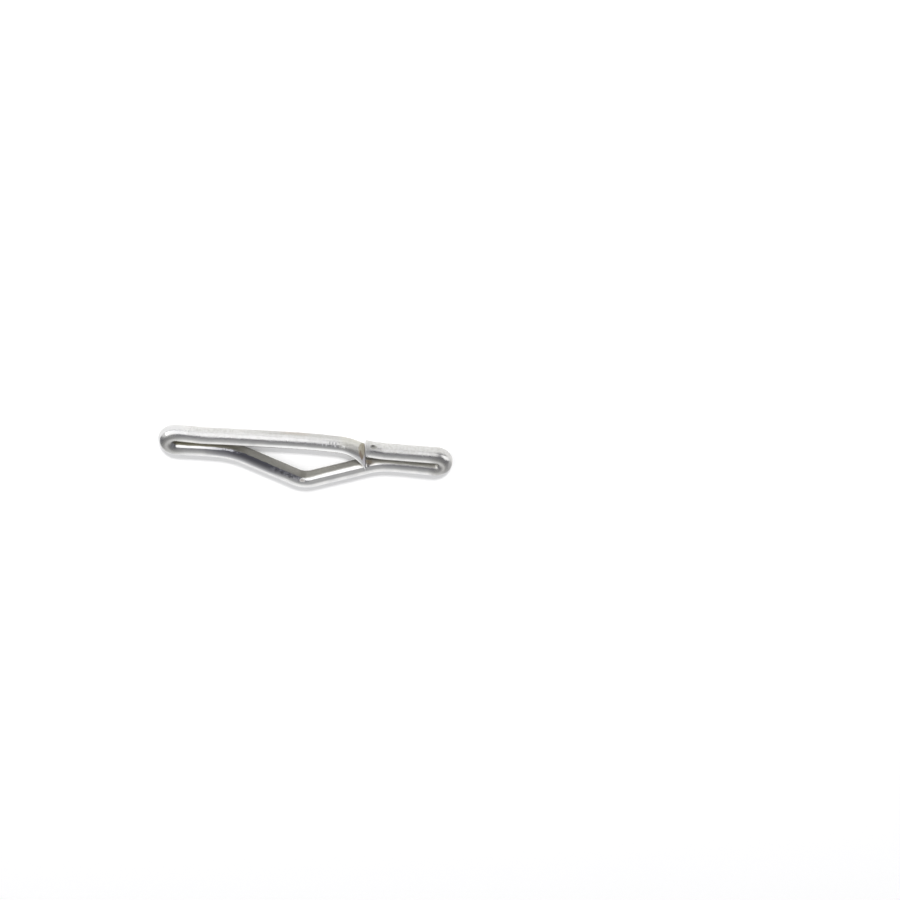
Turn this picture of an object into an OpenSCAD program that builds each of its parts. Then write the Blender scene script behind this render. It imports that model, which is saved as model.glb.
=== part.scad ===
// Tufting clasp: one round wire bent flat into a hairpin at each end, with a bowed leg on one side
// and a V-shaped leg on the other. The two ends of the wire meet in a slanted joint, where the
// bowed leg ends in a small hook that springs against the V leg and keeps the twine in the eye.
// The clasp lies flat on z = 0 with its length along X and the bowed leg towards -Y.

/* [Wire] */
// Diameter of the round wire
wire_d = 2.2; // [1.8:0.05:2.4]

/* [Overall] */
// Length over the two hairpin bends
overall_length = 38.1; // [37:0.1:44]

/* [Eye] */
// Clear width of the eye between the bowed leg and the kink of the V leg
eye_width = 5.55; // [4.8:0.05:7]
// Distance from the joint end of the clasp to the kink of the V leg
kink_from_joint_end = 19; // [18:0.25:20.5]
// Bend radius of the kink, to the centre of the wire
kink_radius = 2.4; // [1.8:0.1:5]
// How far the bowed leg stands out at the kink from the line of its hairpin
bow_out = 0.3; // [0.1:0.05:0.4]
// Radius of the long bow, to the centre of the wire
bow_radius = 75; // [60:5:85]

/* [Far hairpin] */
// Clear slot between the legs inside the bend
far_loop_gap = 0.6; // [0.3:0.05:1.2]
// Clear slot between the legs at the neck
far_neck_gap = 0.2; // [0.05:0.05:0.8]
// How far the bowed leg dips inwards at the neck
far_neck_dip = 0.2; // [0.05:0.05:0.3]
// Distance from the far end of the clasp to the neck
far_neck_from_end = 5.6; // [5:0.1:6.5]
// Distance from the far end to the foot, where the V leg turns outwards
far_foot_from_end = 9.5; // [9:0.1:10.5]
// Bend radius of this foot, to the centre of the wire
far_foot_radius = 8; // [4:0.5:9]

/* [Joint hairpin] */
// Clear slot between the legs inside the bend
joint_loop_gap = 0.25; // [0.1:0.05:0.8]
// Clear slot between the legs at the neck, where they lie close together
joint_neck_gap = 0.06; // [0.04:0.01:0.3]
// Distance from the joint end of the clasp to the neck
joint_neck_from_end = 6; // [5:0.1:6.8]
// Distance from the joint end to the foot, where the V leg turns outwards
joint_foot_from_end = 9.4; // [9:0.1:10]
// Bend radius of this foot, to the centre of the wire
joint_foot_radius = 7; // [4:0.5:8]
// How far the short leg is set in from the line of the bowed leg's hairpin
short_leg_inset = 0.5; // [0.3:0.05:0.8]
// Bend radius of the slight bends at both necks and at the flare, to the centre of the wire
slight_radius = 8; // [4:0.5:10]

/* [Joint] */
// Distance from the joint end of the clasp to the seam, at the cut face of the short leg
seam_from_end = 11.35; // [11:0.05:11.7]
// Lean of the seam away from square across the clasp
seam_angle = 10; // [4:1:14]
// Clear gap between the two wire ends
seam_gap = 0.28; // [0.2:0.02:0.4]
// How far the cut end of the short leg stands out of its own line
end_flare = 0.25; // [0.05:0.05:0.4]
// Length of the short leg that this flare takes
flare_length = 2; // [1.6:0.1:2.6]

/* [Hook] */
// Distance from the seam to where the hook starts to bend
hook_length = 3.8; // [3.4:0.1:4]
// Bend radius of the hook, to the centre of the wire
hook_radius = 8; // [6:0.5:10]
// Angle through which the hook is bent, in its own plane
hook_turn = 17; // [13:0.5:20]
// Roll of this plane about the bowed leg, which lifts the hook's tip
hook_roll = 33; // [25:1:40]
// Lean of the hook's slanted face away from square across the clasp
hook_face_angle = 31; // [26:1:34]
// Lean of this face away from upright, so that it shows from above
hook_face_lean = 18; // [10:1:24]
// How far this face is set back from the seam
hook_face_setback = 0.36; // [0.3:0.02:0.5]
// How far the cutter drew the inner side of the tip over the V leg
spur_length = 0.55; // [0.4:0.05:0.65]
// Rise of the direction in which it was drawn
spur_rise = 20; // [10:1:30]
// Distance from the start of the hook to where this spur begins
spur_start = 0.5; // [0:0.1:1]

/* [Tool mark] */
// Radius of the ball-shaped nick beside the cut end of the short leg
nick_radius = 0.85; // [0.6:0.05:1]
// Depth of this nick
nick_depth = 0.1; // [0.05:0.01:0.14]
// Distance of this nick from the seam
nick_from_seam = 0.85; // [0.7:0.05:1.5]
// How far up the outer side of the short leg it lies
nick_rise = 20; // [0:1:30]

/* [Hidden] */
$fn = 32;

// The wire is a tube with this many flats, and its bends are drawn in steps of about this angle
wire_sides = 24;
bend_step = 9;

wire_r = wire_d / 2;
joint_end_x = -overall_length / 2;
far_end_x = overall_length / 2;
seam_x = joint_end_x + seam_from_end;
kink_x = joint_end_x + kink_from_joint_end;
far_foot_x = far_end_x - far_foot_from_end;
far_neck_x = far_end_x - far_neck_from_end;

// The plan is drawn with y = 0 on the centre of the bowed leg at its hairpin
far_slot_y = wire_d + far_loop_gap;
far_neck_y = far_neck_dip + wire_d + far_neck_gap;
joint_slot_y = short_leg_inset + wire_d + joint_loop_gap;
joint_neck_y = short_leg_inset + wire_d + joint_neck_gap;

// The kink's corner lies beyond its rounded apex by what the bend cuts off
kink_apex_y = wire_d + eye_width - bow_out;
kink_turn = atan2(kink_apex_y - joint_neck_y, kink_from_joint_end - joint_foot_from_end)
    + atan2(kink_apex_y - far_neck_y, far_foot_x - kink_x);
kink_y = kink_apex_y + kink_radius * (1 / cos(kink_turn / 2) - 1);

// Corners of the wire's centre line in plan, each as [x, y, bend radius], from the cut end of the
// short leg round to the last straight of the bowed leg. The two corners of a hairpin get the one
// radius at which their bends meet, which is marked here by -1.
short_end = [seam_x, short_leg_inset - end_flare, 0];
flare = [seam_x - flare_length, short_leg_inset, slight_radius];
joint_loop_short = [joint_end_x + wire_r, short_leg_inset, -1];
joint_loop_v = [joint_end_x + wire_r, joint_slot_y, -1];
joint_neck = [joint_end_x + joint_neck_from_end, joint_neck_y, slight_radius];
joint_foot = [joint_end_x + joint_foot_from_end, joint_neck_y, joint_foot_radius];
kink = [kink_x, kink_y, kink_radius];
far_foot = [far_foot_x, far_neck_y, far_foot_radius];
far_neck = [far_neck_x, far_neck_y, slight_radius];
far_loop_v = [far_end_x - wire_r, far_slot_y, -1];
far_loop_bowed = [far_end_x - wire_r, 0, -1];
bowed_neck = [far_neck_x, far_neck_dip, slight_radius];
bow_start = [far_foot_x, 0, bow_radius];
bow_point = [kink_x, -bow_out, bow_radius];
bow_end = [seam_x, 0, 0];
corners = [short_end, flare, joint_loop_short, joint_loop_v, joint_neck, joint_foot, kink,
    far_foot, far_neck, far_loop_v, far_loop_bowed, bowed_neck, bow_start, bow_point, bow_end];
FLARE = 1;
KINK = 6;
BOW = 13;

function xy(p) = [p[0], p[1]];
function flat(p) = [p[0], p[1], 0];
function heading(p, q) = atan2(q[1] - p[1], q[0] - p[0]);
function toward(angle) = [cos(angle), sin(angle)];
function half_turn_wrap(angle) = angle > 180 ? angle - 360 : angle < -180 ? angle + 360 : angle;

// Turn of the path at corner i
function turn_at(i) =
    half_turn_wrap(heading(corners[i], corners[i + 1]) - heading(corners[i - 1], corners[i]));

// Radius at which the bends of a hairpin's two corners meet, where i is the first of them
function hairpin_radius(i) =
    norm(xy(corners[i + 1]) - xy(corners[i])) / (tan(abs(turn_at(i)) / 2) + tan(abs(turn_at(i + 1)) / 2));
function in_hairpin(i) = corners[i][2] < 0;
function closes_hairpin(i) = in_hairpin(i) && in_hairpin(i - 1);
function bend_radius(i) =
    !in_hairpin(i) ? corners[i][2] : hairpin_radius(closes_hairpin(i) ? i - 1 : i);
function bend_turn(i) = turn_at(i) + (in_hairpin(i) ? turn_at(i + 1) : 0);

// Where the bend at corner i starts, at a distance before the corner that both its straights give
function bend_start(i) =
    xy(corners[i])
        - bend_radius(i) * tan(abs(turn_at(i)) / 2) * toward(heading(corners[i - 1], corners[i]));
function bend_centre(i) =
    bend_start(i)
        + sign(turn_at(i)) * bend_radius(i) * toward(heading(corners[i - 1], corners[i]) + 90);

// A station is [centre, side, up]: a point of the centre line and the two directions across the wire
function station(centre, angle) = [flat(centre), flat(toward(angle + 90)), [0, 0, 1]];
function bend_stations(i) =
    let (turn = bend_turn(i), from = heading(corners[i - 1], corners[i]),
        steps = max(2, ceil(abs(turn) / bend_step)))
    [for (step = [0:steps])
        let (angle = from + turn * step / steps)
        station(bend_centre(i) - sign(turn) * bend_radius(i) * toward(angle + 90), angle)];

rim_angles = [for (k = [0:wire_sides - 1]) 360 * k / wire_sides];
function ring(s) =
    [for (angle = rim_angles) s[0] + wire_r * (cos(angle) * s[1] + sin(angle) * s[2])];

// The hook is one bend, in a plane that is rolled about the bowed leg so that it also lifts the tip
line_angle = heading(bow_point, bow_end);
inward = toward(line_angle - 90);
hook_start = flat(xy(bow_end) - hook_length * toward(line_angle));
hook_forward = flat(toward(line_angle));
hook_inward = [inward[0] * cos(hook_roll), inward[1] * cos(hook_roll), sin(hook_roll)];
hook_upward = [-inward[0] * sin(hook_roll), -inward[1] * sin(hook_roll), cos(hook_roll)];
tip_forward = cos(hook_turn) * hook_forward + sin(hook_turn) * hook_inward;

// The two ends face each other across the seam, which is upright, and the hook also has a slanted
// face. Each face is given by one of its points and its outward normal.
short_cut = [seam_x, 0, 0];
short_normal = [cos(seam_angle), sin(seam_angle), 0];
seam_cut = short_cut + seam_gap * short_normal;
hook_cut = short_cut + [hook_face_setback, 0, 0];
hook_normal = [-cos(hook_face_angle) * cos(hook_face_lean),
    -sin(hook_face_angle) * cos(hook_face_lean), sin(hook_face_lean)];

// Each line of the hook's skin is named by its angle round the wire, and each of its points by the
// way gone along the centre line. The line follows the bend and then a straight, and on the inner
// side the spur is added, which grows towards the tip.
hook_arc = hook_radius * hook_turn * PI / 180;
spur_direction = [0, cos(spur_rise), sin(spur_rise)];
spur_lean = 10;
function spur(angle, way) =
    pow(max(0, -cos(angle + hook_roll + spur_lean)), 2)
        * pow(max(0, way - spur_start) / (hook_length - spur_start), 4) * spur_length;
function skin_point(angle, way) =
    let (turn = hook_turn * min(way / hook_arc, 1))
    hook_start + hook_radius * hook_inward
        + wire_r * sin(angle + hook_roll) * hook_upward
        + (hook_radius + wire_r * cos(angle + hook_roll))
            * (sin(turn) * hook_forward - cos(turn) * hook_inward)
        + max(0, way - hook_arc) * tip_forward
        + spur(angle, way) * spur_direction;

// Where a skin line meets the first of the two cuts, found by halving
function is_cut(point) =
    (seam_cut - point) * short_normal > 0 || (point - hook_cut) * hook_normal > 0;
function way_to_cut(angle, low, high, halvings) =
    let (middle = (low + high) / 2)
    halvings == 0 ? middle
        : is_cut(skin_point(angle, middle)) ? way_to_cut(angle, low, middle, halvings - 1)
        : way_to_cut(angle, middle, high, halvings - 1);
line_ways = [for (angle = rim_angles) way_to_cut(angle, 0, hook_length + 2 * wire_d, 20)];

// Middle of the clasp across its width
kink_edge_y = bend_centre(KINK)[1] + kink_radius + wire_r;
bow_edge_y = bend_centre(BOW)[1] - bow_radius - wire_r;
middle_y = (kink_edge_y + bow_edge_y) / 2;

// Signed way along a direction from a point to the plane through a point of a face
function way_to_face(point, direction, face, normal) =
    (face - point) * normal / (direction * normal);

// The rings of points round the wire, from the cut face of the short leg to the faces of the hook
short_forward = flat(toward(heading(flare, short_end)));
short_rim = [for (p = ring(station(xy(short_end), heading(short_end, flare))))
    p + way_to_face(p, short_forward, short_cut, short_normal) * short_forward];
hook_steps = 12;
hook_rings = [for (step = [0:hook_steps])
    [for (k = [0:wire_sides - 1]) skin_point(rim_angles[k], line_ways[k] * step / hook_steps)]];
rings = concat([short_rim],
    [for (i = [FLARE:BOW]) if (!closes_hairpin(i)) for (s = bend_stations(i)) ring(s)],
    hook_rings);

// The hook's two faces meet in a straight edge. Its point nearest the middle of their rim is the
// common corner of their triangles.
face_edge = cross(hook_normal, short_normal);
seam_across = flat(toward(90 + seam_angle));
edge_start = seam_cut + way_to_face(seam_cut, seam_across, hook_cut, hook_normal) * seam_across;
rim_middle = [for (angle = rim_angles) 1 / wire_sides] * hook_rings[hook_steps];
edge_middle = edge_start
    + (rim_middle - edge_start) * face_edge / (face_edge * face_edge) * face_edge;

// The wire as one closed surface
module wire() {
    last_ring = len(rings) - 1;
    tip = last_ring * wire_sides;
    polyhedron(
        points = concat([for (r = rings, p = r) p], [edge_middle]),
        faces = concat(
            [[for (k = [0:wire_sides - 1]) k]],
            [for (r = [0:last_ring - 1], k = [0:wire_sides - 1])
                let (next = (k + 1) % wire_sides, low = r * wire_sides, high = low + wire_sides)
                [low + next, low + k, high + k, high + next]],
            [for (k = [0:wire_sides - 1])
                [tip + (k + 1) % wire_sides, tip + k, len(rings) * wire_sides]]));
}

// A shallow ball-shaped dent on the outer side of the short leg
module nick() {
    translate([seam_x - nick_from_seam, short_leg_inset - end_flare / 2, 0])
        rotate([-nick_rise, 0, 0])
            translate([0, -(wire_r + nick_radius - nick_depth), 0])
                sphere(r = nick_radius);
}

module wire_clasp() {
    color([0.80, 0.80, 0.79])
        translate([0, -middle_y, wire_r])
            difference() {
                wire();
                nick();
            }
}

wire_clasp();
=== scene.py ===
"""Tufting clasp: one plated wire bent flat into a hairpin at each end, with a bowed leg, a V leg
and a slanted joint. The wire is rebuilt smooth over the fixed frame and set on a pale stage."""
import math
from collections import namedtuple

import bmesh
import bpy
from bmesh.types import BMEdge, BMVert
from mathutils import Matrix, Vector


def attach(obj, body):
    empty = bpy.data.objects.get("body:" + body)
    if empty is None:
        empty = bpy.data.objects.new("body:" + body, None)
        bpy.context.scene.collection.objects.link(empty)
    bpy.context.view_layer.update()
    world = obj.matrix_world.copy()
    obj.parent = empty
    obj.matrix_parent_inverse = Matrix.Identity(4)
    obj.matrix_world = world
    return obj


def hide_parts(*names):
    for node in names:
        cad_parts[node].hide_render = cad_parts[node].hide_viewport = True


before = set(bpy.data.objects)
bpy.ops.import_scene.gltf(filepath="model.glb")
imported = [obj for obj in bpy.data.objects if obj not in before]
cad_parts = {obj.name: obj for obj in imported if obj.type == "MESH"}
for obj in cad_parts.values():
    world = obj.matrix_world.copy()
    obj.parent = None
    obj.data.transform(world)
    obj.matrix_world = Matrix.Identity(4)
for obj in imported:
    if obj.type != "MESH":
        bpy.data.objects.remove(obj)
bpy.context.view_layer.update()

bl_info = {
    "name": "Tufting clasp",
    "version": (1, 0, 0),
    "blender": (4, 5, 0),
    "location": "3D View > Sidebar > Clasp",
    "description": "Bends a plated tufting clasp over its fixed frame and sets it on a pale stage",
    "category": "Object",
}

MM = 0.001
MICROMETRE = 1e-6
UP = Vector((0, 0, 1))


# Sizes and colours

class ClaspSizes(bpy.types.PropertyGroup):
    """Sizes of the wire and of its bends"""
    wire_diameter: bpy.props.FloatProperty(
        name="Wire diameter", description="Diameter of the round wire",
        default=2.2 * MM, unit="LENGTH", precision=5)
    overall_length: bpy.props.FloatProperty(
        name="Overall length", description="Length over the two hairpin bends",
        default=38.1 * MM, unit="LENGTH", precision=5)
    eye_width: bpy.props.FloatProperty(
        name="Eye width", description="Clear width between the bowed leg and the kink of the V leg",
        default=5.55 * MM, unit="LENGTH", precision=5)
    kink_radius: bpy.props.FloatProperty(
        name="Kink radius", description="Bend radius of the kink, to the centre of the wire",
        default=2.4 * MM, unit="LENGTH", precision=5)
    bow_out: bpy.props.FloatProperty(
        name="Bow", description="How far the bowed leg stands out at the kink",
        default=0.3 * MM, unit="LENGTH", precision=5)
    seam_from_end: bpy.props.FloatProperty(
        name="Seam", description="Distance from the joint end to the short leg's cut face",
        default=11.35 * MM, unit="LENGTH", precision=5)
    seam_angle: bpy.props.FloatProperty(
        name="Seam lean", description="Lean of the seam away from square across the clasp",
        default=math.radians(10), unit="ROTATION")
    seam_gap: bpy.props.FloatProperty(
        name="Seam gap", description="Clear gap between the two wire ends",
        default=0.28 * MM, unit="LENGTH", precision=5)
    hook_length: bpy.props.FloatProperty(
        name="Hook length", description="Distance from the seam to where the hook starts to bend",
        default=3.8 * MM, unit="LENGTH", precision=5)
    hook_radius: bpy.props.FloatProperty(
        name="Hook radius", description="Bend radius of the hook, to the centre of the wire",
        default=8 * MM, unit="LENGTH", precision=5)
    hook_turn: bpy.props.FloatProperty(
        name="Hook turn", description="Angle through which the hook is bent, in its own plane",
        default=math.radians(17), unit="ROTATION")
    hook_roll: bpy.props.FloatProperty(
        name="Hook roll", description="Roll of the hook's plane, which lifts its tip over the V leg",
        default=math.radians(33), unit="ROTATION")
    hook_face_angle: bpy.props.FloatProperty(
        name="Hook face angle", description="Lean of the hook's slanted face from square across",
        default=math.radians(31), unit="ROTATION")
    hook_face_lean: bpy.props.FloatProperty(
        name="Hook face lean", description="Lean of the hook's slanted face away from upright",
        default=math.radians(18), unit="ROTATION")
    hook_face_setback: bpy.props.FloatProperty(
        name="Hook face setback", description="How far the slanted face is set back from the seam",
        default=0.36 * MM, unit="LENGTH", precision=5)
    spur_length: bpy.props.FloatProperty(
        name="Spur", description="How far the cutter drew the tip's inner side over the V leg",
        default=0.55 * MM, unit="LENGTH", precision=5)
    spur_rise: bpy.props.FloatProperty(
        name="Spur rise", description="Rise of the direction in which it was drawn",
        default=math.radians(20), unit="ROTATION")
    spur_start: bpy.props.FloatProperty(
        name="Spur start", description="Distance from the start of the hook to where it begins",
        default=0.5 * MM, unit="LENGTH", precision=5)
    nick_from_seam: bpy.props.FloatProperty(
        name="Nick", description="Distance of the nick from the short leg's cut face",
        default=0.85 * MM, unit="LENGTH", precision=5)
    nick_rise: bpy.props.FloatProperty(
        name="Nick rise", description="How far up the outer side of the short leg the nick lies",
        default=math.radians(20), unit="ROTATION")
    nick_depth: bpy.props.FloatProperty(
        name="Nick depth", description="Depth of the nick",
        default=0.1 * MM, unit="LENGTH", precision=5)
    rim_round: bpy.props.FloatProperty(
        name="Rim rounding", description="Width of the worn edge round each cut face",
        default=0.07 * MM, unit="LENGTH", precision=6)


class ClaspColours(bpy.types.PropertyGroup):
    """Colours of the plated wire"""
    plate: bpy.props.FloatVectorProperty(
        name="Plate", description="Colour of the bright plate",
        subtype="COLOR", size=3, min=0, max=1, default=(0.86, 0.855, 0.845))
    # colour of the painted reflection of the shaded floor and of the bowed leg on the V leg's inner
    # side
    dim_reflection: bpy.props.FloatVectorProperty(
        name="Dim reflection", description="Colour of the dulled inner sides",
        subtype="COLOR", size=3, min=0, max=1, default=(0.40, 0.385, 0.33))
    cut_steel: bpy.props.FloatVectorProperty(
        name="Cut steel", description="Colour of the bare cut faces",
        subtype="COLOR", size=3, min=0, max=1, default=(0.50, 0.48, 0.41))


class StageSettings(bpy.types.PropertyGroup):
    """Camera and light of the stage"""
    sight_rise: bpy.props.FloatProperty(
        name="Sight rise", description="Angle of the line of sight above the floor",
        default=math.radians(39.5), unit="ROTATION")
    sight_distance: bpy.props.FloatProperty(
        name="Sight distance", description="Distance from the camera to the clasp",
        default=276.6 * MM, unit="LENGTH")
    picture_slope: bpy.props.FloatProperty(
        name="Slope in the picture", description="How far the clasp slopes down to the right",
        default=math.radians(4.5), unit="ROTATION")
    floor: bpy.props.FloatVectorProperty(
        name="Floor", description="Colour of the floor",
        subtype="COLOR", size=3, min=0, max=1, default=(0.74, 0.74, 0.74))
    floor_glow: bpy.props.FloatProperty(
        name="Floor glow", description="How much brighter the camera and the metal see the floor",
        default=0.28)


# Course of the wire

Bend = namedtuple("Bend", "start centre radius turn")
KINK = 4  # place of the V leg's kink among the bends


def plan_corners(sizes):
    """Corners of the wire's centre line in plan, each as (x, y, bend radius), from the cut end of
    the short leg round to the end of the bowed leg. A radius of None is a hairpin's, which bends
    round two corners at once. The bowed leg's hairpin line is y = 0."""
    wire = sizes.wire_diameter
    end = sizes.overall_length / 2
    kink_from_end, flare_length = 19 * MM, 2 * MM
    joint_foot_from_end, joint_neck_from_end = 9.4 * MM, 6 * MM
    far_foot_from_end, far_neck_from_end = 9.5 * MM, 5.6 * MM
    joint_slot, joint_neck_slot = 0.25 * MM, 0.06 * MM
    far_slot, far_neck_slot = 0.6 * MM, 0.4 * MM
    short_y, flare_y, dip_y = 0.5 * MM, 0.25 * MM, 0.2 * MM
    slight, joint_foot, far_foot, bow = 8 * MM, 7 * MM, 8 * MM, 75 * MM

    seam_x, kink_x = sizes.seam_from_end - end, kink_from_end - end
    joint_foot_x, joint_neck_y = joint_foot_from_end - end, short_y + wire + joint_neck_slot
    far_foot_x, far_neck_y = end - far_foot_from_end, wire + far_neck_slot
    far_neck_x = end - far_neck_from_end
    apex_y = wire + sizes.eye_width - sizes.bow_out
    kink_turn = (math.atan2(apex_y - joint_neck_y, kink_x - joint_foot_x)
                 + math.atan2(apex_y - far_neck_y, far_foot_x - kink_x))
    kink_y = apex_y + sizes.kink_radius * (1 / math.cos(kink_turn / 2) - 1)
    return [
        (seam_x, flare_y, 0), (seam_x - flare_length, short_y, slight),
        (wire / 2 - end, short_y, None), (wire / 2 - end, short_y + wire + joint_slot, None),
        (joint_neck_from_end - end, joint_neck_y, slight),
        (joint_foot_x, joint_neck_y, joint_foot),
        (kink_x, kink_y, sizes.kink_radius),
        (far_foot_x, far_neck_y, far_foot), (far_neck_x, far_neck_y, slight),
        (end - wire / 2, wire + far_slot, None), (end - wire / 2, 0, None),
        (far_neck_x, dip_y, slight), (far_foot_x, 0, bow),
        (kink_x, -sizes.bow_out, bow), (seam_x, 0, 0)]


def turn_between(way_in, way_out):
    return math.atan2(way_in.x * way_out.y - way_in.y * way_out.x, way_in.dot(way_out))


def plan_bends(corners):
    """Bends of the centre line, with the signed turn of each."""
    points = [Vector((x, y, 0)) for x, y, _ in corners]
    bends = []
    k = 1
    while k < len(corners) - 1:
        way_in = (points[k] - points[k - 1]).normalized()
        way_out = points[k + 1] - points[k]
        radius = corners[k][2]
        turn = turn_between(way_in, way_out)
        reach = math.tan(abs(turn) / 2)
        corner = points[k]
        if radius is None:
            k += 1
            next_turn = turn_between(way_out, points[k + 1] - points[k])
            radius = way_out.length / (reach + math.tan(abs(next_turn) / 2))
            turn += next_turn
        start = corner - way_in * radius * reach
        side = UP.cross(way_in) * math.copysign(1, turn)
        bends.append(Bend(start, start + side * radius, radius, turn))
        k += 1
    return bends


def across(point, way):
    """Matrix that sets a flat ring's axis along the wire."""
    return Matrix.Translation(point) @ way.to_track_quat("Z", "Y").to_matrix().to_4x4()


# Bending the wire

WIRE_SIDES = 48
BARE = 1  # material index of the cut faces
STRAIGHT_STEP = 0.2 * MM
BEND_STEP = 0.25 * MM
SHORTEST_STRAIGHT = 0.01 * MM
SPARE = 0.6 * MM  # wire drawn past the short leg's cut, and cut off again
HOOK_TAIL = 3 * MM  # wire drawn past the hook's bend, and cut at the seam
SPUR_LEAN = math.radians(10)  # how far round the wire the spur lies above the hook's plane


def new_parts(made, kind):
    return [item for item in made if isinstance(item, kind)]


def rim_verts(rim):
    return list(dict.fromkeys(vert for edge in rim for vert in edge.verts))


def start_wire(bm, point, way, wire_r):
    """Draws the wire's first ring, marks it as spare, and returns it as an open rim."""
    straight = bm.verts.layers.float_vector.new("straight_wire")
    bmesh.ops.create_circle(bm, cap_ends=False, radius=wire_r, segments=WIRE_SIDES,
                            matrix=across(point, way))
    outward = UP.cross(way)
    for vert in bm.verts:
        off = vert.co - point
        vert[straight] = (-SPARE, off.dot(outward), off.z)
    return list(bm.edges)


def mark_course(bm, first, length, steps):
    """Tells each new ring how far along the straight wire it lay before the wire was bent."""
    straight = bm.verts.layers.float_vector["straight_wire"]
    for k, vert in enumerate(list(bm.verts)[first:]):
        vert[straight].x += length / steps * (k // WIRE_SIDES + 1)


def draw_straight(bm, rim, way):
    """Draws the open rim of the tube along a straight and returns the new rim."""
    steps = max(1, round(way.length / STRAIGHT_STEP))
    first = len(bm.verts)
    for _ in range(steps):
        made = bmesh.ops.extrude_edge_only(bm, edges=rim)["geom"]
        rim = [edge for edge in new_parts(made, BMEdge) if edge.is_boundary]
        bmesh.ops.translate(bm, verts=new_parts(made, BMVert), vec=way / steps)
    mark_course(bm, first, way.length, steps)
    return rim


def draw_bend(bm, rim, centre, axis, radius, turn):
    """Spins the open rim of the tube round a bend's centre and returns the new rim."""
    steps = max(2, math.ceil(abs(turn) * radius / BEND_STEP))
    first = len(bm.verts)
    made = bmesh.ops.spin(bm, geom=rim_verts(rim) + rim, cent=centre, axis=axis, angle=turn,
                          steps=steps, use_duplicate=False, use_merge=False)["geom_last"]
    mark_course(bm, first, radius * abs(turn), steps)
    return [edge for edge in new_parts(made, BMEdge) if edge.is_boundary]


def draw_flat_wire(bm, here, way, bends, wire_r):
    """Draws the wire through its flat bends and returns its open rim and that rim's centre."""
    rim = start_wire(bm, here, way, wire_r)
    for bend in bends:
        if (bend.start - here).length > SHORTEST_STRAIGHT:
            rim = draw_straight(bm, rim, bend.start - here)
        rim = draw_bend(bm, rim, bend.centre, UP, bend.radius, bend.turn)
        here = sum((vert.co for vert in rim_verts(rim)), Vector()) / WIRE_SIDES
    return rim, here


def draw_hook(bm, rim, here, bow_point, bow_end, sizes):
    """Draws the end of the bowed leg and the hook, which bends in its own rolled plane, and returns
    how far along the wire the hook starts."""
    straight = bm.verts.layers.float_vector["straight_wire"]
    forward = (bow_end - bow_point).normalized()
    hook_side = forward.cross(UP) * math.cos(sizes.hook_roll) + UP * math.sin(sizes.hook_roll)
    hook_start = bow_end - forward * sizes.hook_length
    rim = draw_straight(bm, rim, hook_start - here)
    hook_from = rim[0].verts[0][straight].x
    rim = draw_bend(bm, rim, hook_start + hook_side * sizes.hook_radius,
                    forward.cross(hook_side), sizes.hook_radius, sizes.hook_turn)
    tip_way = forward * math.cos(sizes.hook_turn) + hook_side * math.sin(sizes.hook_turn)
    draw_straight(bm, rim, tip_way * HOOK_TAIL)
    return hook_from


def draw_out_spur(bm, hook_from, sizes):
    """Draws the inner side of the hook's tip out over the V leg, as the cutter did."""
    straight = bm.verts.layers.float_vector["straight_wire"]
    way = Vector((0, math.cos(sizes.spur_rise), math.sin(sizes.spur_rise)))
    lean = sizes.hook_roll + SPUR_LEAN
    start = hook_from + sizes.spur_start
    for vert in bm.verts:
        along, outward, height = vert[straight]
        inside = (height * math.sin(lean) - outward * math.cos(lean)) / (sizes.wire_diameter / 2)
        if along > start and inside > 0:
            growth = ((along - start) / (sizes.hook_length - sizes.spur_start)) ** 4
            vert.co += way * sizes.spur_length * inside ** 2 * growth


def cut_end(bm, is_near, point, normal):
    """Cuts off what of one wire end lies past a plane, and closes the end by a bare face."""
    verts = [vert for vert in bm.verts if is_near(vert)]
    near = set(verts)
    edges = [edge for edge in bm.edges if near.issuperset(edge.verts)]
    faces = [face for face in bm.faces if near.issuperset(face.verts)]
    made = bmesh.ops.bisect_plane(bm, geom=verts + edges + faces, dist=1e-8, plane_co=point,
                                  plane_no=normal, clear_outer=True)["geom_cut"]
    for face in bmesh.ops.contextual_create(bm, geom=new_parts(made, BMEdge))["faces"]:
        face.material_index = BARE


def cut_joint(bm, seam_x, hook_from, sizes):
    """Cuts the hook's slanted face, then the two faces of the seam."""
    straight = bm.verts.layers.float_vector["straight_wire"]
    seam = Vector((seam_x, 0, 0))
    upright = Vector((math.cos(sizes.seam_angle), math.sin(sizes.seam_angle), 0))
    slanted = Vector((-math.cos(sizes.hook_face_angle) * math.cos(sizes.hook_face_lean),
                      -math.sin(sizes.hook_face_angle) * math.cos(sizes.hook_face_lean),
                      math.sin(sizes.hook_face_lean)))

    def in_hook(vert):
        return vert[straight].x > hook_from

    def in_short_end(vert):
        return vert[straight].x < 2 * SPARE

    cut_end(bm, in_hook, seam + Vector((sizes.hook_face_setback, 0, 0)), slanted)
    cut_end(bm, in_hook, seam + upright * sizes.seam_gap, -upright)
    cut_end(bm, in_short_end, seam, upright)


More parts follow.
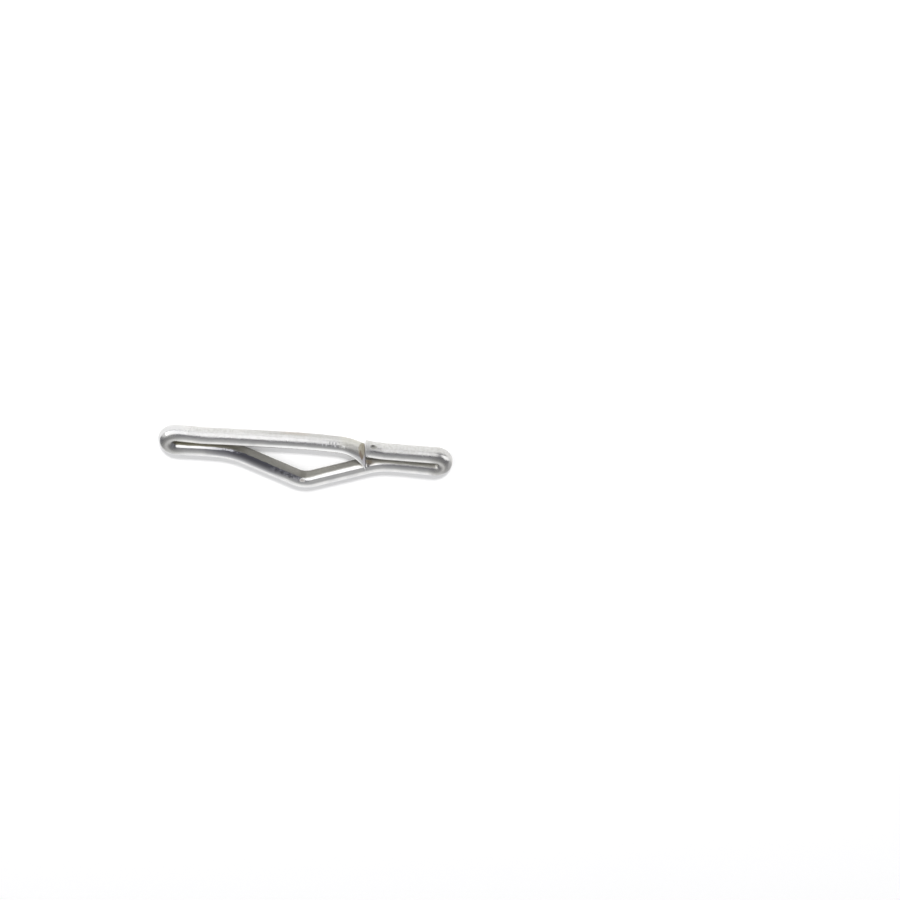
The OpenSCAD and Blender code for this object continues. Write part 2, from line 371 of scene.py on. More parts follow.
def press_nick(bm, short_way, sizes):
    """Presses the cutter's nick, an oblong bowl, into the outer side of the short leg."""
    straight = bm.verts.layers.float_vector["straight_wire"]
    wire_r = sizes.wire_diameter / 2
    half_length, half_width = 0.46 * MM, 0.3 * MM
    fine_lengths, fine_widths = 1.35, 1.7  # how far round the nick the mesh is made finer
    outer_side = UP.cross(short_way)

    def from_nick(vert):
        along, outward, height = vert[straight]
        turn = math.atan2(height, outward) - sizes.nick_rise
        return (along - sizes.nick_from_seam) / half_length, turn * wire_r / half_width

    def is_close(vert):
        lengths, widths = from_nick(vert)
        return abs(lengths) < fine_lengths and abs(widths) < fine_widths

    close = [edge for edge in bm.edges if all(is_close(vert) for vert in edge.verts)]
    bmesh.ops.subdivide_edges(bm, edges=close, cuts=4, use_grid_fill=True)
    for vert in [vert for vert in bm.verts if is_close(vert)]:
        outward, height = vert[straight].yz
        axis = vert.co - outer_side * outward - UP * height
        reach = min(1, math.hypot(*from_nick(vert)))
        depth = sizes.nick_depth * (1 - reach ** 2) ** 1.5
        radial = (outer_side * outward + UP * height).normalized()
        vert.co = axis + radial * (wire_r - depth)


def round_rims(bm, width):
    """Rounds the edge of each cut face, as wear does."""
    rims = list(dict.fromkeys(edge for face in bm.faces if face.material_index == BARE
                              for edge in face.edges))
    bmesh.ops.bevel(bm, geom=rims, offset=width, offset_type="OFFSET", segments=3,
                    profile=0.5, affect="EDGES", material=-1, clamp_overlap=True)


def lay_down(bm, bends, wire_r):
    """Centres the clasp's outline across, and lays it on z = 0."""
    kink, bow = bends[KINK], bends[-1]
    kink_edge = kink.centre.y + kink.radius + wire_r
    bow_edge = bow.centre.y - bow.radius - wire_r
    bmesh.ops.translate(bm, verts=bm.verts, vec=(0, -(kink_edge + bow_edge) / 2, wire_r))


class BendClaspWire(bpy.types.Operator):
    """Bend the clasp's wire from its cut end round both hairpins to the hook"""
    bl_idname = "clasp.bend_wire"
    bl_label = "Bend the wire"

    def execute(self, context):
        sizes = context.scene.clasp_sizes
        wire_r = sizes.wire_diameter / 2
        corners = plan_corners(sizes)
        bends = plan_bends(corners)
        short_end, bow_point, bow_end = (Vector((*corners[k][:2], 0)) for k in (0, -2, -1))
        short_way = (bends[0].start - short_end).normalized()

        bm = bmesh.new()
        rim, here = draw_flat_wire(bm, short_end - short_way * SPARE, short_way, bends, wire_r)
        hook_from = draw_hook(bm, rim, here, bow_point, bow_end, sizes)
        draw_out_spur(bm, hook_from, sizes)
        cut_joint(bm, short_end.x, hook_from, sizes)
        press_nick(bm, short_way, sizes)
        for face in bm.faces:
            face.smooth = True
        round_rims(bm, sizes.rim_round)
        lay_down(bm, bends, wire_r)
        bmesh.ops.recalc_face_normals(bm, faces=bm.faces)
        if not all(edge.is_manifold for edge in bm.edges):
            raise RuntimeError("the bent wire isn't closed")

        mesh = bpy.data.meshes.new("bent_wire")
        bm.to_mesh(mesh)
        bm.free()
        wire = bpy.data.objects.new("bent_wire", mesh)
        context.collection.objects.link(wire)
        groups = {"course": course_group(), "stretch": stretch_group(), "pits": pits_group(),
                  "skin": skin_group(), "ticks": ticks_group()}
        for finish in (plate_material, cut_material):
            mesh.materials.append(finish(context.scene, groups))
        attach(wire, "root")
        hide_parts("wire_clasp")
        return {"FINISHED"}


# Finishes

FLOAT, VECTOR = "NodeSocketFloat", "NodeSocketVector"


def add(tree, kind, inputs=None, **settings):
    """Adds a node. An input is either a socket, which is linked, or a value, which is set."""
    made = tree.nodes.new(kind)
    for name, value in settings.items():
        setattr(made, name, value)
    for name, value in (inputs or {}).items():
        if isinstance(value, bpy.types.NodeSocket):
            tree.links.new(value, made.inputs[name])
        else:
            made.inputs[name].default_value = value
    return made


def calc(tree, operation, *values):
    return add(tree, "ShaderNodeMath", dict(enumerate(values)), operation=operation).outputs[0]


def product(tree, *masks):
    result = masks[0]
    for mask in masks[1:]:
        result = calc(tree, "MULTIPLY", result, mask)
    return result


def ramp(tree, value, low, high, to_low=0.0, to_high=1.0):
    """Smooth step of a value from low to high, either of which may be the greater."""
    return add(tree, "ShaderNodeMapRange", {"Value": value, "From Min": low, "From Max": high,
                                            "To Min": to_low, "To Max": to_high},
               interpolation_type="SMOOTHSTEP").outputs["Result"]


def noise(tree, vector, scale, detail, roughness=0.5):
    return add(tree, "ShaderNodeTexNoise", {"Vector": vector, "Scale": scale, "Detail": detail,
                                            "Roughness": roughness}).outputs[0]


def mix_colour(tree, mask, under, over):
    """Lays one colour over another by a mask. A Mix node's colours are its inputs 6 and 7."""
    return add(tree, "ShaderNodeMix", {0: mask, 6: under, 7: over}, data_type="RGBA").outputs[2]


def new_group(name, inputs, outputs):
    """An empty shader group with the given sockets, each as (name, socket kind, default)."""
    group = bpy.data.node_groups.new(name, "ShaderNodeTree")
    for label, kind, default in inputs:
        socket = group.interface.new_socket(label, in_out="INPUT", socket_type=kind)
        if default is not None:
            socket.default_value = default
    for label, kind in outputs:
        group.interface.new_socket(label, in_out="OUTPUT", socket_type=kind)
    return group, add(group, "NodeGroupInput"), add(group, "NodeGroupOutput")


def use_group(tree, group, **inputs):
    """Places a group in a tree and returns its outputs. Each input is named as its socket is."""
    named = {name.replace("_", " ").capitalize(): value for name, value in inputs.items()}
    return add(tree, "ShaderNodeGroup", named, node_tree=group).outputs


def course_group():
    """Where a point lay on the wire while it was still straight: how far along in millimetres, and
    how far towards the outer side and up, as shares of the wire's radius."""
    group, given, out = new_group("wire course", [("Wire radius", FLOAT, 1.1 * MM)],
                                  [("Straight", VECTOR), ("Along", FLOAT), ("Outward", FLOAT),
                                   ("Rise", FLOAT)])
    place = add(group, "ShaderNodeAttribute", attribute_name="straight_wire")
    axes = add(group, "ShaderNodeSeparateXYZ", {0: place.outputs["Vector"]})
    radius = given.outputs["Wire radius"]
    for name, value in (("Straight", place.outputs["Vector"]),
                        ("Along", calc(group, "DIVIDE", axes.outputs[0], MM)),
                        ("Outward", calc(group, "DIVIDE", axes.outputs[1], radius)),
                        ("Rise", calc(group, "DIVIDE", axes.outputs[2], radius))):
        group.links.new(value, out.inputs[name])
    return group


def stretch_group():
    """Mask of a stretch of a value, with soft ends."""
    group, given, out = new_group(
        "stretch", [("Value", FLOAT, 0.0), ("Start", FLOAT, 0.0), ("Stop", FLOAT, 1.0),
                    ("Blur", FLOAT, 0.1)], [("Mask", FLOAT)])
    value, start, stop, blur = (given.outputs[k] for k in range(4))
    rise = ramp(group, value, calc(group, "SUBTRACT", start, blur), calc(group, "ADD", start, blur))
    fall = ramp(group, value, calc(group, "SUBTRACT", stop, blur), calc(group, "ADD", stop, blur),
                1.0, 0.0)
    group.links.new(calc(group, "MULTIPLY", rise, fall), out.inputs["Mask"])
    return group


def pits_group():
    """Scattered round pits: a mask of them, and their depth from 0 to 1."""
    group, given, out = new_group(
        "pits", [("Vector", VECTOR, None), ("Cells", FLOAT, 5000.0), ("Share", FLOAT, 0.3),
                 ("Width", FLOAT, 0.3)], [("Mask", FLOAT), ("Depth", FLOAT)])
    cells = add(group, "ShaderNodeTexVoronoi", {"Vector": given.outputs["Vector"],
                                                "Scale": given.outputs["Cells"]})
    chance = add(group, "ShaderNodeSeparateColor", {0: cells.outputs["Color"]})
    kept = calc(group, "LESS_THAN", chance.outputs[0], given.outputs["Share"])
    width = calc(group, "MULTIPLY", given.outputs["Width"],
                 ramp(group, chance.outputs[1], 0.0, 1.0, 0.5, 1.0))
    bowl = ramp(group, cells.outputs["Distance"], 0.0, width, 1.0, 0.0)
    depth = calc(group, "MULTIPLY", bowl, kept)
    group.links.new(depth, out.inputs["Depth"])
    group.links.new(ramp(group, depth, 0.25, 0.6), out.inputs["Mask"])
    return group


def skin_group():
    """Uneven skin of the plate: clouds for colour and gloss, and a fine peel in micrometres."""
    group, given, out = new_group(
        "plate skin", [("Vector", VECTOR, None), ("Grain", FLOAT, 9000.0), ("Peel", FLOAT, 1.0),
                       ("Ripple", FLOAT, 1.0)], [("Cloud", FLOAT), ("Height", FLOAT)])
    vector = given.outputs["Vector"]
    cloud = noise(group, vector, 700.0, 4.0, 0.6)
    peel = noise(group, vector, given.outputs["Grain"], 3.0, 0.6)
    ripple = noise(group, vector, 2200.0, 1.0)
    height = calc(group, "ADD", calc(group, "MULTIPLY", peel, given.outputs["Peel"]),
                  calc(group, "MULTIPLY", ripple, given.outputs["Ripple"]))
    group.links.new(ramp(group, cloud, 0.3, 0.7), out.inputs["Cloud"])
    group.links.new(height, out.inputs["Height"])
    return group


def ticks_group():
    """Masks of short dark ticks across the wire, in clumps, where the bending tool has rubbed it,
    and of light ones between them, which are painted glints."""
    group, given, out = new_group(
        "bending ticks", [("Vector", VECTOR, None), ("Cells", VECTOR, (5200, 2200, 2200))],
        [("Dark", FLOAT), ("Light", FLOAT)])
    vector = given.outputs["Vector"]
    squeezed = add(group, "ShaderNodeVectorMath", {0: vector, 1: given.outputs["Cells"]},
                   operation="MULTIPLY")
    tick = noise(group, squeezed.outputs[0], 1.0, 4.0, 0.75)
    clumps = ramp(group, noise(group, vector, 1700.0, 1.0), 0.42, 0.58)
    group.links.new(product(group, ramp(group, tick, 0.53, 0.6), clumps), out.inputs["Dark"])
    group.links.new(ramp(group, tick, 0.48, 0.43), out.inputs["Light"])
    return group


class WireCourse:
    """Where a point of the plate lay while the wire was straight: along it in millimetres from the
    short leg's cut face, and outwards and up in shares of its radius. A span is either where a mask
    is nil and where it is full, or where it starts, where it stops and how soft its ends are."""

    def __init__(self, tree, groups, wire_radius):
        self.tree, self.groups = tree, groups
        course = use_group(tree, groups["course"], wire_radius=wire_radius)
        self.straight, self.along = course["Straight"], course["Along"]
        self.outward, self.rise = course["Outward"], course["Rise"]
        self.blotch = noise(tree, self.straight, 1500.0, 3.0, 0.65)

    def mask(self, value, span):
        """Mask of a value by one span."""
        if len(span) == 2:
            return ramp(self.tree, value, *span)
        start, stop, blur = span
        return use_group(self.tree, self.groups["stretch"], value=value, start=start, stop=stop,
                         blur=blur)["Mask"]

    def patch(self, along=None, outward=None, rise=None):
        """Mask of the patch of the wire that lies in the given spans."""
        spans = ((self.along, along), (self.outward, outward), (self.rise, rise))
        return product(self.tree, *(self.mask(value, span) for value, span in spans if span))

    def uneven(self, value, share):
        """A value that wavers from place to place, for a mask with an uneven edge."""
        return calc(self.tree, "ADD", value, calc(self.tree, "MULTIPLY", self.blotch, share))

    def skin(self, grain, peel, ripple):
        return use_group(self.tree, self.groups["skin"], vector=self.straight, grain=grain,
                         peel=peel, ripple=ripple)


def frost_masks(wire):
    """Frost on the outer side of the bowed and short legs, and fainter and lower on the V leg's. The
    bowed leg's is pale above, as a painted highlight, and darker below, as painted shade."""
    tree = wire.tree
    edge = wire.uneven(wire.outward, 0.3)
    outer_legs = calc(tree, "MAXIMUM", wire.patch(along=(53.5, 78.0, 1.5)),
                      wire.patch(along=(-1.0, 11.0, 1.5)))
    v_leg = calc(tree, "MULTIPLY", wire.patch(along=(12.5, 50.0, 1.5)), 0.6)
    frost = calc(tree, "MAXIMUM", product(tree, outer_legs, wire.mask(edge, (0.5, 0.95))),
                 product(tree, v_leg, wire.mask(edge, (0.95, 1.15))))
    mottle = noise(tree, wire.straight, 2800.0, 4.0, 0.7)
    return {
        "frost": frost,
        "mottled frost": product(tree, ramp(tree, mottle, 0.42, 0.62), frost),
        "frost painted highlight": product(tree, frost, wire.patch(along=(53.5, 72.0, 2.0), rise=(0.0, 0.4))),
        "frost painted shade": product(tree, frost, wire.patch(along=(62.5, 78.0, 3.0), rise=(0.28, -0.1)))}


def pit_masks(wire, frost):
    """Pits and larger spots, thick in the frost and thin elsewhere, and the pits' depth in
    micrometres."""
    tree, group = wire.tree, wire.groups["pits"]
    pits = use_group(tree, group, vector=wire.straight, cells=5200.0, share=0.22, width=0.34)
    spots = use_group(tree, group, vector=wire.straight, cells=2300.0, share=0.3, width=0.3)
    zone = calc(tree, "ADD", 0.25, calc(tree, "MULTIPLY", frost, 0.75))
    return {
        "pits": product(tree, pits["Mask"], zone),
        "spots": product(tree, spots["Mask"], zone),
        "pit depth": product(tree, pits["Depth"], zone, 6.0)}


def hairpin_masks(wire):
    """Both hairpins are darker, and grey over their tops as a painted dark reflection. The joint
    hairpin's shoulder has a matt white patch, a painted highlight, and its end is scuffed to a grey
    one."""
    tree = wire.tree
    joint_hairpin = wire.patch(along=(8.6, 13.2, 0.9))
    far_hairpin = wire.patch(along=(47.9, 52.8, 1.2))
    tops = wire.mask(wire.uneven(wire.rise, 0.4), (0.82, 1.1))
    shoulder = wire.uneven(wire.rise, 0.5)
    return {
        "joint hairpin": joint_hairpin,
        "far hairpin": far_hairpin,
        "painted grey hairpin tops": product(tree, calc(tree, "MAXIMUM", joint_hairpin, far_hairpin), tops),
        "painted white highlight": product(tree, wire.patch(along=(9.45, 10.4, 0.35), outward=(0.0, 0.3)),
                               wire.mask(shoulder, (0.72, 0.97, 0.14))),
        "grey scuff": product(tree, wire.patch(along=(10.3, 12.0, 0.5), outward=(0.0, 0.3)),
                              wire.mask(shoulder, (0.68, 1.15, 0.2)))}


def dim_reflection_masks(wire):
    """The inner side of the V leg and of the slots is painted brown-grey, as a painted reflection of
    the shaded floor within the eye and of the bowed leg, and is made rougher. It is half matt from
    the joint foot to the far one, with painted shade along its lower edge there, darkest in the kink
    as painted shade, and olive towards the far hairpin. The slot side beside the far hairpin gets a
    cream painted reflection."""
    tree, along = wire.tree, wire.along
    top = calc(tree, "ADD", ramp(tree, along, 25.0, 31.5, 0.49, 0.60),
               ramp(tree, along, 17.8, 24.0, 0.3, 0.0))
    past_top = calc(tree, "SUBTRACT", wire.uneven(wire.rise, 0.16), top)
    blur = ramp(tree, along, 29.0, 32.0, -0.16, -0.04)
    below_top = ramp(tree, past_top, blur, calc(tree, "MULTIPLY", blur, -1.0), 1.0, 0.0)
    dim_reflection = product(tree, below_top, wire.patch(outward=(0.02, -0.12)),
                   wire.patch(along=(12.0, 52.5, 1.5)))
    matt_dim_reflection = product(tree, dim_reflection, wire.patch(along=(20.0, 40.2, 1.5)))
    return {
        "dim_reflection": dim_reflection,
        "clouded dim reflection": product(tree, dim_reflection, ramp(tree, wire.blotch, 0.3, 0.7, 0.82, 1.0)),
        "olive dim reflection": product(tree, dim_reflection, wire.patch(along=(43.0, 60.0, 2.0))),
        "matt dim reflection": matt_dim_reflection,
        "clouded matt dim reflection": product(tree, matt_dim_reflection,
                                     ramp(tree, wire.blotch, 0.3, 0.7, 0.93, 1.0)),
        "dim reflection lower shade": product(tree, matt_dim_reflection,
                            wire.patch(along=(21.0, 29.5, 1.0), rise=(0.1, -0.5))),
        "kink dim reflection": product(tree, dim_reflection, wire.patch(along=(30.2, 31.7, 0.6))),
        "slot side": wire.patch(along=(52.8, 61.0, 1.5), outward=(-0.2, -0.5))}


def arm_masks(wire):
    """The V leg's far arm is painted darker and bluish, as painted shade, with a painted dark
    reflection band along it and a dull dark grey patch at the top of the kink. The bending tool has
    left dark ticks beside the kink and at the arm's foot, with light ones among them that are
    painted glints."""
    tree = wire.tree
    inside = wire.patch(outward=(0.2, 0.0))
    ticks = use_group(tree, wire.groups["ticks"], vector=wire.straight)
    by_kink = wire.patch(along=(31.4, 36.2, 0.6), rise=(0.6, 0.93, 0.07))
    by_foot = wire.patch(along=(40.3, 42.8, 0.6), rise=(0.46, 0.72, 0.07))
    gleaming = calc(tree, "MAXIMUM", calc(tree, "MULTIPLY", by_kink, 0.34),
                    calc(tree, "MULTIPLY", by_foot, 0.65))
    return {
        "far arm": product(tree, wire.patch(along=(34.5, 44.0, 1.5)), inside),
        "arm marks": product(tree, ticks["Dark"], calc(tree, "MAXIMUM", by_kink, by_foot), inside),
        "arm gleams": product(tree, ticks["Light"], gleaming, inside),
        "dull kink top": product(tree, wire.patch(along=(30.5, 31.4, 0.3), rise=(0.62, 0.88, 0.08)),
                            inside),
        "painted dark arm band": product(tree, wire.patch(along=(32.6, 41.5, 1.0), rise=(0.7, 0.91, 0.06)),
                              inside)}


def bow_masks(wire):
    """The bowed leg has the bending tool's ticks and teeth marks near the hook, with painted glints
    among the ticks, a tan edge before them, and a painted highlight line on top that runs on over
    the hook beside a painted dark reflection band."""
    tree, along = wire.tree, wire.along
    first_tooth, tooth_pitch = 72.09, 0.39
    ticks = use_group(tree, wire.groups["ticks"], vector=wire.straight, cells=(4200, 900, 900))
    near_hook = wire.patch(along=(69.2, 74.4, 0.5), outward=(0.3, 0.5))
    teeth = calc(tree, "COSINE", calc(tree, "MULTIPLY", calc(tree, "SUBTRACT", along, first_tooth),
                                      2 * math.pi / tooth_pitch))
    line_start = ramp(tree, along, 73.0, 75.0, -0.35, -0.8)
    return {
        "bow marks": product(tree, ticks["Dark"], near_hook, wire.patch(rise=(0.42, 0.8, 0.06))),
        "bow gleams": product(tree, ticks["Light"], near_hook,
                              wire.patch(rise=(0.66, 0.88, 0.06)), 0.5),
        "tooth marks": product(tree, ramp(tree, teeth, 0.0, 0.8), near_hook,
                               wire.patch(along=(71.95, 73.05, 0.1), rise=(0.44, 0.72, 0.06))),
        "painted highlight line": wire.patch(along=(64.0, 79.5, 1.5), outward=(line_start, 0.2, 0.08),
                                 rise=(0.5, 0.8)),
        "painted dark hook band": wire.patch(along=(74.3, 79.0, 0.7), outward=(0.16, 0.62, 0.1),
                                rise=(0.5, 0.7)),
        "tan edge": wire.patch(along=(66.0, 69.3, 0.8), outward=(0.5, 0.8), rise=(0.1, -0.2))}


def end_masks(wire):
    """The two ends are scuffed, the nick beside the short leg's end is darker, and rust has crept
    from the seam along the short leg's and the V leg's inner sides."""
    tree = wire.tree
    nick_along, nick_rise = 0.8, 0.34
    lengths_per_mm, widths_per_radius = 1.9, 3.6
    lengths = calc(tree, "MULTIPLY", calc(tree, "SUBTRACT", wire.along, nick_along),
                   lengths_per_mm)
    widths = calc(tree, "MULTIPLY", calc(tree, "SUBTRACT", wire.rise, nick_rise),
                  widths_per_radius)
    from_nick = calc(tree, "ADD", calc(tree, "POWER", lengths, 2.0),
                     calc(tree, "POWER", widths, 2.0))
    by_seam = calc(tree, "MAXIMUM", wire.patch(along=(0.0, 1.0, 0.3)),
                   wire.patch(along=(20.6, 22.2, 0.4)))
    return {
        "hook": wire.patch(along=(73.4, 79.0, 0.5), outward=(0.25, 0.6)),
        "short tip": wire.patch(along=(0.5, 0.25)),
        "darker nick": product(tree, wire.mask(from_nick, (1.1, 0.3)),
                             wire.patch(along=(0.0, 2.0, 0.1), outward=(0.0, 0.3))),
        "rust": product(tree, by_seam, wire.patch(outward=(-0.2, -0.4), rise=(0.1, 0.7, 0.1)),
                        ramp(tree, wire.blotch, 0.35, 0.5))}


def plate_tints(colours):
    """The marks' colours on the plate from the lowest up, each as (mark, share, colour)."""
    return (
        # painted shade: the V leg's far arm painted darker and bluish
        ("far arm", 0.85, (0.46, 0.46, 0.485)),
        ("joint hairpin", 0.45, (0.60, 0.59, 0.56)),
        ("far hairpin", 0.45, (0.62, 0.62, 0.61)),
        # painted dark reflection: grey tops of the hairpins
        ("painted grey hairpin tops", 0.6, (0.44, 0.435, 0.42)),
        ("frost", 0.6, (0.64, 0.635, 0.615)),
        ("mottled frost", 0.5, (0.55, 0.54, 0.50)),
        ("pits", 0.35, (0.30, 0.29, 0.27)),
        ("spots", 0.4, (0.36, 0.35, 0.32)),
        # painted highlight above and painted shade below on the bowed leg's frost
        ("frost painted highlight", 0.5, colours.plate),
        ("frost painted shade", 0.4, (0.40, 0.395, 0.38)),
        ("tan edge", 0.35, (0.50, 0.43, 0.36)),
        # painted highlight line on the bowed leg and hook, and a painted dark reflection band beside
        # it on the hook
        ("painted highlight line", 0.85, (1.0, 1.0, 1.0)),
        ("painted dark hook band", 0.5, (0.33, 0.33, 0.35)),
        # painted reflections: cream on the slot side, brown-grey on the V leg's inner side, with
        # painted shade along its lower edge and in the kink
        ("slot side", 0.45, (0.72, 0.68, 0.54)),
        ("clouded dim reflection", 1.0, colours.dim_reflection),
        ("olive dim reflection", 0.5, (0.42, 0.385, 0.26)),
        ("clouded matt dim reflection", 1.0, (0.235, 0.228, 0.207)),
        ("dim reflection lower shade", 0.35, (0.14, 0.13, 0.11)),
        ("kink dim reflection", 0.5, (0.10, 0.092, 0.08)),
        ("dull kink top", 0.9, (0.25, 0.235, 0.22)),
        ("rust", 0.7, (0.24, 0.19, 0.135)),
        ("hook", 0.4, (0.80, 0.785, 0.69)),
        # painted dark reflection band along the V leg's far arm
        ("painted dark arm band", 0.5, (0.2, 0.2, 0.22)),
        ("arm marks", 0.8, (0.12, 0.12, 0.13)),
        # painted glints among the tool's ticks
        ("arm gleams", 0.9, (0.52, 0.53, 0.60)),
        ("bow gleams", 0.9, (0.80, 0.80, 0.81)),
        ("bow marks", 0.85, (0.24, 0.24, 0.25)),
        ("tooth marks", 0.7, (0.26, 0.26, 0.27)),
        ("darker nick", 0.8, (0.24, 0.235, 0.21)),
        ("grey scuff", 0.8, (0.42, 0.415, 0.40)),
        # painted highlight: matt white patch on the joint hairpin's shoulder
        ("painted white highlight", 1.0, (0.70, 0.695, 0.68)))


# how much roughness each mark adds, and how far each mark hides the metal
ADDED_ROUGHNESS = (
    ("frost", 0.16), ("dim_reflection", 0.4), ("hook", 0.18), ("short tip", 0.25), ("painted grey hairpin tops", 0.12),
    ("painted white highlight", 0.2), ("grey scuff", 0.2), ("rust", 0.35), ("arm gleams", 0.2))
MATT_MARKS = (
    ("painted white highlight", 1.0), ("arm gleams", 1.0), ("grey scuff", 0.7), ("matt dim reflection", 0.55),
    ("dull kink top", 1.0), ("bow gleams", 1.0))


def draw_lines(tree, straight):
    """Faint lines that the drawing die left along the wire."""
    long_way = add(tree, "ShaderNodeMapping", {"Vector": straight, "Scale": (300, 16000, 16000)})
    return noise(tree, long_way.outputs[0], 1.0, 2.0)


def plate_material(scene, groups):
    """Bright plate on the drawn wire, frosted outside, rougher inside and marked by its bending,
    with painted highlights, glints, reflections and shade laid on it.
    """
    colours = scene.clasp_colours
    material = bpy.data.materials.new("bright plate")
    material.use_nodes = True
    tree = material.node_tree
    shader = tree.nodes["Principled BSDF"]
    wire = WireCourse(tree, groups, scene.clasp_sizes.wire_diameter / 2)
    marks = {}
    for masks in (frost_masks, hairpin_masks, dim_reflection_masks, arm_masks, bow_masks, end_masks):
        marks.update(masks(wire))
    marks.update(pit_masks(wire, marks["frost"]))

    plate_skin = wire.skin(grain=9000.0, peel=1.0, ripple=2.0)
    frost_skin = wire.skin(grain=5200.0, peel=9.0, ripple=9.0)
    cloud = plate_skin["Cloud"]
    colour = mix_colour(tree, cloud, (*colours.plate, 1), (0.77, 0.77, 0.77, 1))
    for mark, share, tint in plate_tints(colours):
        colour = mix_colour(tree, calc(tree, "MULTIPLY", marks[mark], share), colour, (*tint, 1))
    roughness = ramp(tree, cloud, 0.0, 1.0, 0.12, 0.19)
    for mark, share in ADDED_ROUGHNESS:
        roughness = calc(tree, "ADD", roughness, calc(tree, "MULTIPLY", marks[mark], share))
    matt = 0.0
    for mark, share in MATT_MARKS:
        matt = calc(tree, "MAXIMUM", matt, calc(tree, "MULTIPLY", marks[mark], share))

    lines = calc(tree, "MULTIPLY", draw_lines(tree, wire.straight), 2.0)
    height = calc(tree, "ADD", plate_skin["Height"], lines)
    height = calc(tree, "ADD", height, product(tree, frost_skin["Height"], marks["frost"]))
    height = calc(tree, "SUBTRACT", height, marks["pit depth"])
    bump = add(tree, "ShaderNodeBump", {"Height": height, "Distance": MICROMETRE})
    for name, value in (("Base Color", colour), ("Roughness", roughness),
                        ("Metallic", ramp(tree, matt, 0.0, 1.0, 1.0, 0.15)),
                        ("Normal", bump.outputs[0])):
        tree.links.new(value, shader.inputs[name])
    return material


# the hook's slanted face on the finished clasp: its middle, the level way across it towards the
# tip, and the way down it that leans towards the tip
FACE_MIDDLE = (-7.34 * MM, -3.595 * MM, 1.1 * MM)
TOWARDS_TIP = (-0.515, 0.857, 0.0)
DOWN_FACE = (-0.471, 0.25, -0.846)


def cut_material(scene, groups):
    """Bare steel where the wire was cut, torn by the cutter across the face, darker brown along the
    hook's upper inner rim and lighter, faintly violet, towards its tip."""
    material = bpy.data.materials.new("cut steel")
    material.use_nodes = True
    tree = material.node_tree
    shader = tree.nodes["Principled BSDF"]
    place = add(tree, "ShaderNodeTexCoord").outputs["Object"]
    from_middle = add(tree, "ShaderNodeVectorMath", {0: place, 1: FACE_MIDDLE},
                      operation="SUBTRACT").outputs[0]

    def reach(way):
        """How far a point lies from the face's middle in a given way, in millimetres."""
        return calc(tree, "DIVIDE", add(tree, "ShaderNodeVectorMath", {0: from_middle, 1: way},
                                        operation="DOT_PRODUCT").outputs["Value"], MM)

    skin = use_group(tree, groups["skin"], vector=place, grain=7000.0, peel=8.0, ripple=6.0)
    tearing = add(tree, "ShaderNodeMapping", {"Vector": place, "Scale": (2500, 2500, 9000)})
    torn = noise(tree, tearing.outputs[0], 1.0, 3.0)
    down_face = calc(tree, "ADD", reach(DOWN_FACE), calc(tree, "MULTIPLY", skin["Cloud"], 0.35))
    tipward = reach(TOWARDS_TIP)
    colour = mix_colour(tree, ramp(tree, torn, 0.4, 0.65), (*scene.clasp_colours.cut_steel, 1),
                        (0.38, 0.345, 0.28, 1))
    brown = product(tree, ramp(tree, down_face, -0.72, -0.5, 0.85, 0.0),
                    ramp(tree, tipward, -0.6, -0.2))
    colour = mix_colour(tree, brown, colour, (0.23, 0.175, 0.14, 1))
    colour = mix_colour(tree, ramp(tree, tipward, 0.6, 0.85, 0.0, 0.8), colour,
                        (0.60, 0.59, 0.63, 1))
    height = calc(tree, "ADD", skin["Height"], calc(tree, "MULTIPLY", torn, 12.0))
    bump = add(tree, "ShaderNodeBump", {"Height": height, "Distance": MICROMETRE})
    tree.links.new(colour, shader.inputs["Base Color"])
    tree.links.new(bump.outputs[0], shader.inputs["Normal"])
    shader.inputs["Metallic"].default_value = 0.35
    shader.inputs["Roughness"].default_value = 0.5
    return material


# Stage

LENS, SENSOR = 85, 36  # in millimetres
PICTURE_SIDE = 900  # in pixels, as are the clasp's places in the picture
LEFT_OF_MIDDLE, BELOW_MIDDLE = 144.7, 10.4


def floor_material(settings):
    """Pale floor that the camera and the metal see as white, with the clasp's shadow on it."""
    material = bpy.data.materials.new("pale floor")
    material.use_nodes = True
    tree = material.node_tree
    tree.nodes.clear()
    rays = add(tree, "ShaderNodeLightPath").outputs
    seen = calc(tree, "MAXIMUM", rays["Is Camera Ray"], rays["Is Glossy Ray"])
    seen = calc(tree, "MAXIMUM", seen, rays["Is Transmission Ray"])
    strength = calc(tree, "MULTIPLY", seen, settings.floor_glow)
    glow = add(tree, "ShaderNodeEmission", {"Strength": strength})
    diffuse = add(tree, "ShaderNodeBsdfDiffuse", {"Color": (*settings.floor, 1)})
    both = add(tree, "ShaderNodeAddShader", {0: diffuse.outputs[0], 1: glow.outputs[0]})
    add(tree, "ShaderNodeOutputMaterial", {"Surface": both.outputs[0]})
    return material


